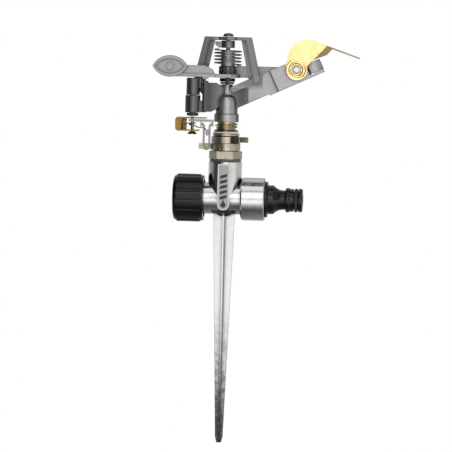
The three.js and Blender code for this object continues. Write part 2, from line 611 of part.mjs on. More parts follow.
// Folded strip lever: top and bottom leaves joined by a web at the outer end.
function tripLever() {
  const left = -12.5;
  const top = 74.2;
  const bottom = 63.9;
  const sheet = 1;
  const fold = 2.4;
  const profile = (inset, topEnd, bottomEnd) => {
    const outline = new THREE.Shape();
    outline.moveTo(topEnd, top - inset);
    outline.lineTo(left + fold, top - inset);
    outline.absarc(left + fold, top - fold, fold - inset, Math.PI / 2, Math.PI);
    outline.absarc(left + fold, bottom + fold, fold - inset, Math.PI, 1.5 * Math.PI);
    outline.lineTo(bottomEnd, bottom + inset);
    return outline;
  };
  const strip = cut(spread(profile(0, 10.8, 5), -4, 4), spread(profile(sheet, 20, 20), -5, 5));
  const nearCheek = spread(profile(0, left + 5.4, left + 4), -4, -3);
  const farCheek = spread(profile(0, left + 8, left + 8), 3, 4);
  return cut(join(strip, nearCheek, farCheek), disc(1.5, 60, 80, 12));
}
place("trip_lever", atTrip(tripLever()), brass);
place("trip_pin", atTrip(disc(1.2, 62.2, 74.6, 12)), steel);
const flare = turned([[1.5, 63.6], [2.2, 63.6], [3.7, 61.6], [3.1, 61.4], [1.5, 63]], SMALL);
place("pin_eyelet", atTrip(flare), brass);

// Carrier on the pin, with two ears that hold the trip wire.
function wireCarrier() {
  const arm = box(-2.6, 15.6, -2, 2, 70.9, 72.6);
  const leftEar = box(6.1, 7.4, -2, 2, 67.4, 72);
  const rightEar = box(14.3, 15.6, -2, 2, 67.4, 72);
  return cut(join(arm, leftEar, rightEar), disc(1.5, 60, 80, 12),
    alongX(disc(1.1, 0, 20, 12)).translate([0, 0, WIRE_HINGE_Z]));
}
place("wire_carrier", atTrip(wireCarrier()), steel);

const WIRE_LEFT = 8.7;
const WIRE_RIGHT = 13;
const WIRE_BOTTOM = 50.6;
class TripLoop extends THREE.Curve {
  getPoint(t) {
    const bend = (WIRE_RIGHT - WIRE_LEFT) / 2;
    const middle = (WIRE_LEFT + WIRE_RIGHT) / 2;
    const leg = WIRE_HINGE_Z - WIRE_BOTTOM - bend;
    const pin = 2.3;
    const total = 2 * pin + 2 * leg + Math.PI * bend;
    let s = t * total;
    if (s < pin) return point(WIRE_LEFT - pin + s, 0, WIRE_HINGE_Z);
    s -= pin;
    if (s < leg) return point(WIRE_LEFT, 0, WIRE_HINGE_Z - s);
    s -= leg;
    if (s < Math.PI * bend) {
      const a = Math.PI + s / bend;
      return point(middle + bend * Math.cos(a), 0, WIRE_BOTTOM + bend + bend * Math.sin(a));
    }
    s -= Math.PI * bend;
    if (s < leg) return point(WIRE_RIGHT, 0, WIRE_BOTTOM + bend + s);
    s -= leg;
    return point(WIRE_RIGHT + s, 0, WIRE_HINGE_Z);
  }
}
place("trip_wire", wire(new TripLoop(), 0.75, 44), steel, [TRIP_X, TRIP_Y, 0]);

// Over-centre spring: coiled on the pin, one leg hooked on the lever, the other between the wire's legs.
const tripSpringPath = new THREE.CatmullRomCurve3([
  point(-10.6, -2.2, 67.2), point(-6, -2.4, 68.6), point(-2, -2.3, 69.8), point(1.4, -1.9, 69.9),
  point(2.3, 0, 69.8), point(1.4, 1.9, 69.5), point(-1, 2.1, 69.2), point(-2.3, 0, 68.8),
  point(-1, -2.1, 68.4), point(1.4, -1.9, 68), point(2.6, 0, 67.4), point(4.6, 1.5, 66.6),
  point(9.2, 1.6, 66.1), point(10.4, 1.5, 64), point(10.4, 1.5, 61.4), point(11.1, 1.5, 60.6),
  point(11.6, 1.5, 62), point(11.4, 1.5, 65.4),
]);
place("trip_spring", wire(tripSpringPath, 0.45, 52), steel, [TRIP_X, TRIP_Y, 0]);

export default sprinkler;
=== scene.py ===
import math

import bpy
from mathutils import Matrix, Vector


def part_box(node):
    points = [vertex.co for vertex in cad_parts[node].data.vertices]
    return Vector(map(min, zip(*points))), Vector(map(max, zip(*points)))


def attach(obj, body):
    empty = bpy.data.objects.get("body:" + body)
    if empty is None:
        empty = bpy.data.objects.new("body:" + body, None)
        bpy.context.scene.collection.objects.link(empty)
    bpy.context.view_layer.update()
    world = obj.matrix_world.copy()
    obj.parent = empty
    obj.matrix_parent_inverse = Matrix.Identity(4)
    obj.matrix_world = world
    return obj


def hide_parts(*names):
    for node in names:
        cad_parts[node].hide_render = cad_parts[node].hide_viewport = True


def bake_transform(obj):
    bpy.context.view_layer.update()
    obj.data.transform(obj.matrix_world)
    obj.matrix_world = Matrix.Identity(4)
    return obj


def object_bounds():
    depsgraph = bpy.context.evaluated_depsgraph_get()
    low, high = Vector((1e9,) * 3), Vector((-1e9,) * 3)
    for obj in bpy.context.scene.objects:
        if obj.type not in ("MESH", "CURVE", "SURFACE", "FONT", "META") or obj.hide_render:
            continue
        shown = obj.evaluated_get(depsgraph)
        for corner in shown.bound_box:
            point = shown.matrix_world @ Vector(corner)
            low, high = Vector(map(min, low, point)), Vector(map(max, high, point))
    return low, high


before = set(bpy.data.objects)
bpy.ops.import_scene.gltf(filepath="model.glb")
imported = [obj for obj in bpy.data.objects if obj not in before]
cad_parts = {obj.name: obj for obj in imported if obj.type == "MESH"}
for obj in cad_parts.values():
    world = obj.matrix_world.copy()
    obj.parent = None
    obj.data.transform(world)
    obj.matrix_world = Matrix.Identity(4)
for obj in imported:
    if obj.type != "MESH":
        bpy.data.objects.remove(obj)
cad_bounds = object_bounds()
MM = 0.001

# ------------------------------------------------------------------ floor and light
# A white table under the point of the spike, plain white as seen straight. Bright metal mirrors
# the table, which is painted dark close in front and in a wedge at the left front and glows
# further forward as painted light, and a room that is bright in front, just above eye level,
# behind and at the right, and dark at the left and overhead.


def add_node(tree, kind, inputs=None, **settings):
    """A shader node with these inputs, each a plain value or another node's output."""
    node = tree.nodes.new("ShaderNode" + kind)
    for key, value in settings.items():
        setattr(node, key, value)
    for key, value in (inputs or {}).items():
        if isinstance(value, bpy.types.NodeSocket):
            tree.links.new(value, node.inputs[key])
        else:
            node.inputs[key].default_value = value
    return node


def ramp(tree, value, start, end, low=0.0, high=1.0, **settings):
    """Goes from low to high while a value goes from start to end, and stays there past them."""
    return add_node(tree, "MapRange", {0: value, 1: start, 2: end, 3: low, 4: high},
                    **settings).outputs[0]


def product(tree, first, *others):
    """Values or masks multiplied together."""
    for other in others:
        first = add_node(tree, "Math", {0: first, 1: other}, operation="MULTIPLY").outputs[0]
    return first


def larger(tree, one, other):
    """The larger of two values."""
    return add_node(tree, "Math", {0: one, 1: other}, operation="MAXIMUM").outputs[0]


TABLE_SIZE = 12
TABLE_GAP = 0.2 * MM
DARK_RADIUS = 0.14
LIT_RADIUS = 0.60
DARK_HEADING = (-0.83, -0.56, 0)
MIRRORED_GLOW = 2.0  # the table's brightness as metal mirrors it; seen straight it is 1

bpy.ops.object.select_all(action="DESELECT")
ground = Vector(cad_bounds[0]).z
bpy.ops.mesh.primitive_plane_add(size=TABLE_SIZE, location=(0, 0, ground - TABLE_GAP))
floor = bpy.context.object
floor.name = "floor"
floor_paint = bpy.data.materials.new("table_with_painted_glow")
floor_paint.use_nodes = True
paint = floor_paint.node_tree
floor_shader = paint.nodes["Principled BSDF"]
on_floor = add_node(paint, "TexCoord").outputs["Object"]
forward = add_node(paint, "SeparateXYZ", {0: on_floor}).outputs["Y"]
paint.links.new(ramp(paint, forward, -0.10, 0.10, 0.25, 0.80), floor_shader.inputs["Base Color"])
floor_shader.inputs["Roughness"].default_value = 0.9
floor_shader.inputs["Specular IOR Level"].default_value = 0.1
far_out = add_node(paint, "VectorMath", {0: on_floor}, operation="LENGTH").outputs["Value"]
heading = add_node(paint, "VectorMath", {0: on_floor}, operation="NORMALIZE").outputs[0]
dark_wedge = add_node(
    paint, "VectorMath", {0: heading, 1: DARK_HEADING}, operation="DOT_PRODUCT").outputs["Value"]
# Painted light: where the table glows for mirrored rays, and where it is painted dark for them.
lit_part = product(
    paint, ramp(paint, dark_wedge, 0.78, 0.93, 1.0, 0.0),
    ramp(paint, far_out, DARK_RADIUS, LIT_RADIUS), ramp(paint, forward, 0.0, -0.4, 0.4, 1.0))
seen_straight = add_node(paint, "LightPath").outputs["Is Camera Ray"]
glow = add_node(paint, "Emission", {
    0: (1, 1, 1, 1), 1: ramp(paint, seen_straight, 0.0, 1.0, MIRRORED_GLOW, 1.0)})
lit = add_node(paint, "MixShader", {
    0: larger(paint, seen_straight, lit_part), 1: floor_shader.outputs[0], 2: glow.outputs[0]})
paint.links.new(lit.outputs[0], paint.nodes["Material Output"].inputs["Surface"])
floor.data.materials.append(floor_paint)

room = bpy.data.worlds.new("studio")
bpy.context.scene.world = room
room.use_nodes = True
room.node_tree.nodes.clear()
direction = add_node(room.node_tree, "TexCoord").outputs["Generated"]


def bright_side(centre, start, full, strength):
    """How bright the room is around one direction: this strength in the middle, fading outwards.

    Start and full are cosines of the angles from the centre at which it starts and is full.
    """
    nearness = add_node(room.node_tree, "VectorMath", {
        0: direction, 1: Vector(centre).normalized()}, operation="DOT_PRODUCT")
    return ramp(room.node_tree, nearness.outputs["Value"], start, full, 0.0, strength,
                interpolation_type="SMOOTHSTEP")


DARK_ROOM = 0.03
brightness = DARK_ROOM
for side in (bright_side((0, -1, 0), 0.84, 0.96, 1.0), bright_side((0, 1, 0), 0.5, 0.9, 0.6),
             bright_side((0, -0.92, 0.40), 0.925, 0.975, 2.2),
             bright_side((0, 0.5, 0.86), 0.80, 0.94, 0.9), bright_side((1, 0, 0), 0.35, 0.75, 0.7)):
    brightness = larger(room.node_tree, side, brightness)
surroundings = add_node(room.node_tree, "Background", {0: (1, 1, 1, 1), 1: brightness})
backdrop = add_node(room.node_tree, "Background", {0: (1, 1, 1, 1), 1: 1.0})
ray = add_node(room.node_tree, "LightPath")
seen = add_node(room.node_tree, "MixShader", {
    0: ray.outputs["Is Camera Ray"], 1: surroundings.outputs[0], 2: backdrop.outputs[0]})
add_node(room.node_tree, "OutputWorld", {0: seen.outputs[0]})


def soft_lamp(name, place, aim, width, height, power):
    """A rectangular lamp at one point, facing another."""
    bpy.ops.object.light_add(type="AREA", location=place)
    lamp = bpy.context.object
    lamp.name = name
    lamp.data.shape = "RECTANGLE"
    lamp.data.size = width
    lamp.data.size_y = height
    lamp.data.energy = power
    lamp.rotation_euler = (Vector(aim) - Vector(place)).to_track_quat("-Z", "Y").to_euler()


soft_lamp("lamp_over", (0.1, -0.42, 0.85), (0, 0, 0.05), 0.6, 0.5, 1.5)
soft_lamp("lamp_front", (0.40, -1.3, 0.30), (0, 0, 0.0), 0.8, 0.8, 3)
bpy.context.scene.view_settings.view_transform = "Standard"

# ------------------------------------------------------------------ camera
# It stands in front and a little to the right, level with the top of the head, looks slightly
# down at the middle of the object and is tipped so that the riser leans a little to the right.
CAMERA_DISTANCE = 2.4
CAMERA_AZIMUTH = math.radians(4.5)
CAMERA_ELEVATION = math.radians(3)
CAMERA_ROLL = math.radians(1.4)
CAMERA_VIEW = math.radians(8.05)
CAMERA_AIM = Vector((1.6, 0, -6.75)) * MM

towards = Vector((
    math.sin(CAMERA_AZIMUTH) * math.cos(CAMERA_ELEVATION),
    -math.cos(CAMERA_AZIMUTH) * math.cos(CAMERA_ELEVATION),
    math.sin(CAMERA_ELEVATION),
))
bpy.ops.object.camera_add(location=CAMERA_AIM + towards * CAMERA_DISTANCE)
camera = bpy.context.object
camera.name = "camera"
camera.data.angle = CAMERA_VIEW
camera.rotation_euler = towards.to_track_quat("Z", "Y").to_euler()
camera.rotation_euler.rotate_axis("Z", CAMERA_ROLL)
bpy.context.scene.camera = camera

# ------------------------------------------------------------------ spike casting
# One zinc die casting, brightly plated: blade, round foot, cross pipe and riser. The skin keeps
# the ripple of the die, its corners are rounded by the die's own radii and by tumbling.


NOISE_LOW = 0.35
NOISE_HIGH = 0.65
CORNER_REACH = 3
EDGE_REACH = 0.9


def worn_shaded_surface():
    """Node group: the uneven colour, roughness and height of a used surface.

    It is darker in corners (Dirt), with painted shade as well as dirt, and along outer edges (Edge),
    with painted shade. Patches are its broad blotches.
    """
    tree = bpy.data.node_groups.new("worn_shaded_surface", "ShaderNodeTree")
    kinds = {
        "Colour": "NodeSocketColor", "Grime And Shade Colour": "NodeSocketColor", "Grime And Shade": "NodeSocketFloat",
        "Edge": "NodeSocketFloat",
        "Patch Scale": "NodeSocketFloat", "Grain Scale": "NodeSocketFloat",
        "Contrast": "NodeSocketFloat", "Smooth": "NodeSocketFloat", "Rough": "NodeSocketFloat",
    }
    for name, kind in kinds.items():
        tree.interface.new_socket(name=name, in_out="INPUT", socket_type=kind)
    for name, kind in (("Colour", "NodeSocketColor"), ("Roughness", "NodeSocketFloat"),
                       ("Height", "NodeSocketFloat"), ("Patches", "NodeSocketFloat")):
        tree.interface.new_socket(name=name, in_out="OUTPUT", socket_type=kind)
    given = tree.nodes.new("NodeGroupInput").outputs
    place = add_node(tree, "TexCoord").outputs["Object"]
    patches = add_node(tree, "TexNoise", {
        "Vector": place, "Scale": given["Patch Scale"], "Detail": 4.0}).outputs[0]
    grain = add_node(tree, "TexNoise", {
        "Vector": place, "Scale": given["Grain Scale"], "Detail": 3.0}).outputs[0]
    darkest = add_node(tree, "Math", {0: 1.0, 1: given["Contrast"]}, operation="SUBTRACT")
    lightest = add_node(tree, "Math", {0: 1.0, 1: given["Contrast"]}, operation="ADD")
    mixed = add_node(tree, "Mix", {0: 0.5, 2: patches, 3: grain}).outputs[0]
    shade = ramp(tree, mixed, NOISE_LOW, NOISE_HIGH, darkest.outputs[0], lightest.outputs[0])
    shaded = add_node(tree, "VectorMath", {
        0: given["Colour"], "Scale": shade}, operation="SCALE")
    # Painted shade and dirt in corners, and painted shade along outer edges, both from ambient
    # occlusion.
    corner = add_node(tree, "AmbientOcclusion", {"Distance": CORNER_REACH * MM}, samples=4)
    crowded = add_node(tree, "Math", {0: 1.0, 1: corner.outputs["AO"]}, operation="SUBTRACT")
    grime_and_shade = product(tree, crowded.outputs[0], given["Grime And Shade"])
    core = add_node(
        tree, "AmbientOcclusion", {"Distance": EDGE_REACH * MM}, samples=4, inside=True)
    edge_shade_mask = add_node(tree, "Math", {0: 1.0, 1: core.outputs["AO"]}, operation="SUBTRACT")
    grime_and_shade_mask = larger(tree, grime_and_shade, product(tree, edge_shade_mask.outputs[0], given["Edge"]))
    colour = add_node(tree, "Mix", {
        0: grime_and_shade_mask, 6: shaded.outputs[0], 7: given["Grime And Shade Colour"]}, data_type="RGBA")
    roughness = ramp(tree, mixed, NOISE_LOW, NOISE_HIGH, given["Smooth"], given["Rough"])
    results = tree.nodes.new("NodeGroupOutput").inputs
    tree.links.new(colour.outputs[2], results["Colour"])
    tree.links.new(roughness, results["Roughness"])
    tree.links.new(grain, results["Height"])
    tree.links.new(patches, results["Patches"])
    return tree


WORN_SHADED_SURFACE = worn_shaded_surface()


def worn_shaded_material(name, colour, grime_and_shade_colour, grime_and_shade, patch, grain, contrast, smooth, rough, bump,
                  edge_shade=0.0, **plain_values):
    """A material with the worn surface and its painted shade on it, and that group's node. Sizes and
    depths are in mm.
    """
    made = bpy.data.materials.new(name)
    made.use_nodes = True
    tree = made.node_tree
    shader = tree.nodes["Principled BSDF"]
    for key, value in plain_values.items():
        shader.inputs[key.replace("_", " ")].default_value = value
    surface = add_node(tree, "Group", node_tree=WORN_SHADED_SURFACE)
    values = {
        "Colour": (*colour, 1), "Grime And Shade Colour": (*grime_and_shade_colour, 1), "Grime And Shade": grime_and_shade, "Edge": edge_shade,
        "Patch Scale": 1 / (patch * MM), "Grain Scale": 1 / (grain * MM),
        "Contrast": contrast, "Smooth": smooth, "Rough": rough,
    }
    for key, value in values.items():
        surface.inputs[key].default_value = value
    relief = add_node(tree, "Bump", {
        "Strength": 0.6, "Distance": bump * MM, "Height": surface.outputs["Height"]})
    tree.links.new(surface.outputs["Colour"], shader.inputs["Base Color"])
    tree.links.new(surface.outputs["Roughness"], shader.inputs["Roughness"])
    tree.links.new(relief.outputs[0], shader.inputs["Normal"])
    return made, surface


def between(tree, value, low, high, fade=0.3):
    """A mask: 1 where a length lies between two limits in mm, with a fade inside each."""
    return product(tree, ramp(tree, value, low * MM, (low + fade) * MM),
                   ramp(tree, value, (high - fade) * MM, high * MM, 1.0, 0.0))


def stain(material, mask, colour, amount=1.0):
    """Mixes a plain colour over whatever feeds the material's base colour, by a mask."""
    tree = material.node_tree
    base = tree.nodes["Principled BSDF"].inputs["Base Color"]
    under = base.links[0].from_socket
    mixed = add_node(tree, "Mix", {
        0: product(tree, mask, amount), 6: under, 7: (*colour, 1)}, data_type="RGBA")
    tree.links.new(mixed.outputs[2], base)


def place_in(material):
    """The X, Y and Z outputs of a material's place on the object."""
    tree = material.node_tree
    return add_node(tree, "SeparateXYZ", {0: add_node(tree, "TexCoord").outputs["Object"]}).outputs


def in_edit_mode(piece):
    """Selects one piece alone and opens it for editing, with nothing in it selected."""
    bpy.ops.object.select_all(action="DESELECT")
    piece.select_set(True)
    bpy.context.view_layer.objects.active = piece
    bpy.ops.object.mode_set(mode="EDIT")
    bpy.ops.mesh.select_all(action="DESELECT")


def soften(piece, width, angle=32, segments=2, crease=32):
    """Rounds a piece's sharp edges to this width in mm and shades its curved sides smooth.

    Edges over angle are rounded; edges over crease, both in degrees, keep a hard line.
    """
    bpy.ops.object.select_all(action="DESELECT")
    piece.select_set(True)
    bpy.context.view_layer.objects.active = piece
    if width:
        bpy.ops.object.modifier_add(type="BEVEL")
        edges = piece.modifiers[-1]
        edges.width = width * MM
        edges.segments = segments
        edges.limit_method = "ANGLE"
        edges.angle_limit = math.radians(angle)
        edges.harden_normals = True
        bpy.ops.object.modifier_apply(modifier=edges.name)
    bpy.ops.object.shade_smooth_by_angle(angle=math.radians(crease))
    bpy.ops.object.modifier_add(type="WEIGHTED_NORMAL")
    flatness = piece.modifiers[-1]
    flatness.weight = 90
    flatness.keep_sharp = True
    bpy.ops.object.modifier_apply(modifier=flatness.name)


def refined(name, node, width, angle=32, segments=2, crease=32):
    """A copy of a CAD node, merged into one skin, with its edges rounded."""
    piece = bpy.data.objects.new(name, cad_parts[node].data.copy())
    bpy.context.scene.collection.objects.link(piece)
    in_edit_mode(piece)
    bpy.ops.mesh.select_all(action="SELECT")
    bpy.ops.mesh.remove_doubles(threshold=0.002 * MM)
    bpy.ops.mesh.dissolve_limited(angle_limit=math.radians(0.6))
    bpy.ops.object.mode_set(mode="OBJECT")
    soften(piece, width, angle, segments, crease)
    return piece


def settle(piece, turn, place):
    """Turns a piece made about Z, moves it into place and leaves its object at the origin."""
    bpy.ops.object.select_all(action="DESELECT")
    piece.select_set(True)
    bpy.context.view_layer.objects.active = piece
    piece.rotation_euler = turn
    piece.location = place
    bpy.ops.object.transform_apply(location=True, rotation=True, scale=True)


def hand_over(piece, material, slot, body, *nodes):
    """Gives a finished piece its material and its place in the frame."""
    piece.data.materials.clear()
    piece.data.materials.append(material)
    if nodes:
        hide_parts(*nodes)
    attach(piece, body)


# Its corners and outer edges are darkened almost to black as painted shade.
bright_zinc, zinc_skin = worn_shaded_material(
    "bright_zinc", (0.48, 0.48, 0.475), (0.03, 0.03, 0.03), 0.8, patch=4.5, grain=1.0,
    contrast=0.12, smooth=0.12, rough=0.28, bump=0.03, edge_shade=0.9, Metallic=1.0)
zinc = bright_zinc.node_tree
x, y, z = place_in(bright_zinc)
aside = add_node(zinc, "Math", {0: x}, operation="ABSOLUTE").outputs[0]

# Soil stains, in flecks, from the middle of the blade down to its tip.
SOIL = (0.13, 0.125, 0.115)
SOIL_START = -65
SOIL_FULL = -135
flecks = ramp(zinc, zinc_skin.outputs["Patches"], 0.42, 0.58, 0.3, 1.0)
stain(bright_zinc, product(zinc, ramp(zinc, z, SOIL_START * MM, SOIL_FULL * MM), flecks), SOIL)

# Painted shade: dark lines in the corners beside the blade's rib, and a darker round foot over the
# blade.
RIB_SIDE = 0.75
FOOT_HALF = 9.5
FOOT_FRONT = -4
FOOT_TOP = 5.9
stain(bright_zinc, product(
    zinc, between(zinc, aside, RIB_SIDE - 0.3, RIB_SIDE + 0.7), between(zinc, z, -200, -0.3)),
    (0.16, 0.16, 0.155))
stain(bright_zinc, product(
    zinc, between(zinc, aside, -1, FOOT_HALF, 1), between(zinc, y, -30, FOOT_FRONT),
    between(zinc, z, 0.8, FOOT_TOP, 0.8)), (0.09, 0.09, 0.088))

# The face of the label plate is greyer than its rim, down to its round lower end.
PLATE_FACE = -13.6
PLATE_HALF = 3.9
PLATE_ROUND_Z = 9.9
PLATE_FACE_TOP = 39.2
above_round = add_node(zinc, "Math", {0: z, 1: PLATE_ROUND_Z * MM}, operation="SUBTRACT")
below_round = add_node(zinc, "Math", {0: above_round.outputs[0], 1: 0.0}, operation="MINIMUM")
from_middle = add_node(zinc, "VectorMath", {
    0: add_node(zinc, "CombineXYZ", {0: x, 2: below_round.outputs[0]}).outputs[0]},
    operation="LENGTH").outputs["Value"]
stain(bright_zinc, product(
    zinc, between(zinc, from_middle, -1, PLATE_HALF),
    between(zinc, y, PLATE_FACE - 1, PLATE_FACE + 0.4), between(zinc, z, 0, PLATE_FACE_TOP)),
    (0.23, 0.23, 0.227))
casting = refined("spike", "spike_casting", 0.5)
hand_over(casting, bright_zinc, "zinc_casting", "base", "spike_casting")


def new_skin(node, material):
    """Gives a CAD node that keeps its shape a better material."""
    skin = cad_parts[node].data
    skin.materials.clear()
    skin.materials.append(material)


# ------------------------------------------------------------------ label plate
# The casting's front carries a raised plate. It is left without any name: a drop and a column of
# short bars are printed on it in black.
black_paint, _ = worn_shaded_material(
    "black_paint", (0.012, 0.012, 0.012), (0.05, 0.05, 0.05), 0.2, patch=2, grain=0.3,
    contrast=0.2, smooth=0.35, rough=0.6, bump=0.01)
DROP_Z = 9.6
DROP_RADIUS = 2.1
DROP_POINT = 2.3
BAR_WIDTH = 5.4
BAR_HEIGHT = 2.3
BAR_SLANT = 0.28
FIRST_BAR = 15.2
BAR_STEP = 3.9
BAR_COUNT = 5
FILM = 0.12


def printed(piece, place):
    """Stands a flat outline up against the plate as a film of paint and hands it over."""
    in_edit_mode(piece)
    bpy.ops.mesh.select_all(action="SELECT")
    bpy.ops.mesh.extrude_region_move(TRANSFORM_OT_translate={"value": (0, 0, FILM * MM)})
    bpy.ops.mesh.select_all(action="SELECT")
    bpy.ops.mesh.normals_make_consistent(inside=False)
    bpy.ops.object.mode_set(mode="OBJECT")
    settle(piece, (math.pi / 2, 0, 0), Vector((place[0], PLATE_FACE, place[1])) * MM)
    hand_over(piece, black_paint, "black_plastic", "base")


bpy.ops.object.select_all(action="DESELECT")
bpy.ops.mesh.primitive_circle_add(vertices=32, radius=DROP_RADIUS * MM, fill_type="NGON")
drop = bpy.context.object
drop.name = "printed_drop"
for corner in drop.data.vertices:
    above = max(corner.co.y, 0) / (DROP_RADIUS * MM)
    corner.co.x *= 1 - 0.75 * above ** 1.5
    corner.co.y += DROP_POINT * MM * above ** 4
printed(drop, (0, DROP_Z))
for number in range(BAR_COUNT):
    bpy.ops.object.select_all(action="DESELECT")
    bpy.ops.mesh.primitive_plane_add(size=1)
    bar = bpy.context.object
    bar.name = f"printed_bar_{number}"
    bar.scale = (BAR_WIDTH * MM, BAR_HEIGHT * MM, 1)
    bpy.ops.object.transform_apply(scale=True)
    in_edit_mode(bar)
    bpy.ops.mesh.select_all(action="SELECT")
    bpy.ops.mesh.bevel(offset=0.6 * MM, segments=3, affect="VERTICES")
    bpy.ops.object.mode_set(mode="OBJECT")
    for corner in bar.data.vertices:
        corner.co.y += BAR_SLANT * corner.co.x
    printed(bar, (0, FIRST_BAR + number * BAR_STEP))

# ------------------------------------------------------------------ end cap
# Black moulded cap that screws on the left outlet. The grip is a ring of broad ribs between the
# round shoulder at the closed end and the open rim; all corners have a mould radius.


def turned(name, profile, facets=96):
    """A solid turned about Z, drawn out ring by ring through [radius, height] corners in mm."""
    (radius, height), corners = profile[0], profile[1:]
    bpy.ops.object.select_all(action="DESELECT")
    bpy.ops.mesh.primitive_circle_add(vertices=facets, radius=radius * MM)
    piece = bpy.context.object
    piece.name = name
    bpy.ops.object.mode_set(mode="EDIT")
    bpy.ops.mesh.select_all(action="SELECT")
    bpy.ops.transform.translate(value=(0, 0, height * MM))
    for next_radius, next_height in corners:
        rise = (0, 0, (next_height - height) * MM)
        bpy.ops.mesh.extrude_region_move(TRANSFORM_OT_translate={"value": rise})
        growth = next_radius / radius
        bpy.ops.transform.resize(value=(growth, growth, 1), center_override=(0, 0, 0))
        radius, height = next_radius, next_height
    bpy.ops.mesh.select_all(action="SELECT")
    bpy.ops.mesh.remove_doubles(threshold=0.002 * MM)
    bpy.ops.mesh.fill_holes(sides=0)
    bpy.ops.mesh.select_all(action="SELECT")
    bpy.ops.mesh.normals_make_consistent(inside=False)
    bpy.ops.mesh.select_all(action="DESELECT")
    bpy.ops.object.mode_set(mode="OBJECT")
    return piece


def raise_bands(piece, radius, low, high, count, share, growth):
    """Raises ribs that run along a turned piece between two heights, by scaling them outwards."""
    for face in piece.data.polygons:
        middle = face.center / MM
        around = math.degrees(math.atan2(middle.y, middle.x)) % 360 * count / 360
        on_wall = abs(math.hypot(middle.x, middle.y) - radius) < 0.1 and low < middle.z < high
        face.select = on_wall and around % 1 < share
    bpy.ops.object.select_all(action="DESELECT")
    piece.select_set(True)
    bpy.context.view_layer.objects.active = piece
    bpy.ops.object.mode_set(mode="EDIT")
    bpy.ops.mesh.select_mode(type="FACE")
    bpy.ops.mesh.extrude_region_move()
    bpy.ops.transform.resize(value=(growth, growth, 1), center_override=(0, 0, 0))
    bpy.ops.mesh.select_mode(type="VERT")
    bpy.ops.object.mode_set(mode="OBJECT")


ALONG_X = (0, math.pi / 2, 0)
CAP_RIBS = 18
cap_low, cap_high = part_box("end_cap")
pipe_axis = Vector((0, 0, (cap_low.z + cap_high.z) / 2))
cap_radius = (cap_high.z - cap_low.z) / 2 / MM
cap_length = (cap_high.x - cap_low.x) / MM
CAP_RIB_HEIGHT = 1.0
CAP_WALL = 3.2
CAP_FACE = 2.6
RIBS_START = 2.9
ribs_end = cap_length - 2.4
core = cap_radius - CAP_RIB_HEIGHT
cap = turned("outlet_cap", [
    (core - CAP_WALL, 0), (core - 1.2, 0.5), (core - 0.3, 1.3), (core, 2.4), (core, RIBS_START),
    (core, ribs_end), (core, cap_length), (core - CAP_WALL, cap_length),
    (core - CAP_WALL, CAP_FACE), (4, CAP_FACE),
], facets=144)
raise_bands(cap, core, RIBS_START, ribs_end, CAP_RIBS, 5 / 8, cap_radius / core)
soften(cap, 0.35, angle=25, segments=3)
settle(cap, ALONG_X, pipe_axis + Vector((cap_low.x, 0, 0)))
black_moulding, _ = worn_shaded_material(
    "black_moulding", (0.004, 0.004, 0.0045), (0.03, 0.029, 0.028), 0.2, patch=7, grain=0.25,
    contrast=0.25, smooth=0.13, rough=0.28, bump=0.015, Specular_IOR_Level=0.28)
hand_over(cap, black_moulding, "black_plastic", "cap", "end_cap")

black_rubber, _ = worn_shaded_material(
    "black_rubber", (0.016, 0.016, 0.016), (0.09, 0.085, 0.08), 0.3, patch=3, grain=0.2,
    contrast=0.3, smooth=0.5, rough=0.8, bump=0.03)
for washer in ("end_cap_washer", "inlet_washer", "lower_rubber_washer", "arm_washer", "trip_bush"):
    new_skin(washer, black_rubber)

# ------------------------------------------------------------------ hose tail
# Black moulded tail, screwed into the inlet boss. A click-fit hose connector grips the groove
# behind its nose ring and seals on the O-ring that sits in the middle groove.
_, tail_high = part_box("hose_adapter")
nose = tail_high.x / MM
boss_face = nose - 28.2
tail = turned("hose_tail", [
    (4.8, nose), (4.8, boss_face - 11.6), (13.1, boss_face - 11.6), (13.1, boss_face + 0.3),
    (13.4, boss_face + 0.3), (13.4, boss_face + 1.6), (13, boss_face + 2.1), (11, boss_face + 2.4),
    (10.8, boss_face + 2.8), (10.8, boss_face + 6.2), (10.4, boss_face + 6.9), (9.2, boss_face + 8.1),
    (8.3, boss_face + 9.5), (7.6, boss_face + 11.2), (7.3, boss_face + 13), (7.3, boss_face + 15.2),
    (8.5, boss_face + 15.5), (9.1, boss_face + 16), (9.25, boss_face + 17), (9.1, boss_face + 18),
    (8.5, boss_face + 18.7), (8.45, boss_face + 21.3), (8.3, boss_face + 21.6), (6.9, boss_face + 21.7),
    (6.9, boss_face + 24.8), (8.4, boss_face + 24.9), (8.8, boss_face + 25.6), (8.85, boss_face + 26.8),
    (8.6, boss_face + 27.7), (8, nose), (4.8, nose),
])
soften(tail, 0.15)
settle(tail, ALONG_X, pipe_axis)
hand_over(tail, black_moulding, "black_plastic", "base", "hose_adapter")

ring_low, ring_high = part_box("adapter_o_ring")
ring_width = (ring_high.x - ring_low.x) / 2
ring_reach = (ring_high.z - ring_low.z) / 2
bpy.ops.mesh.primitive_torus_add(
    major_segments=72, minor_segments=20, major_radius=ring_reach - ring_width * 0.8,
    minor_radius=ring_width * 0.8)
seal = bpy.context.object
seal.name = "o_ring"
seal.scale = (1, 1, 1.2)
soften(seal, 0)
settle(seal, ALONG_X, pipe_axis + Vector(((ring_low.x + ring_high.x) / 2, 0, 0)))
hand_over(seal, black_rubber, "rubber", "base", "adapter_o_ring")

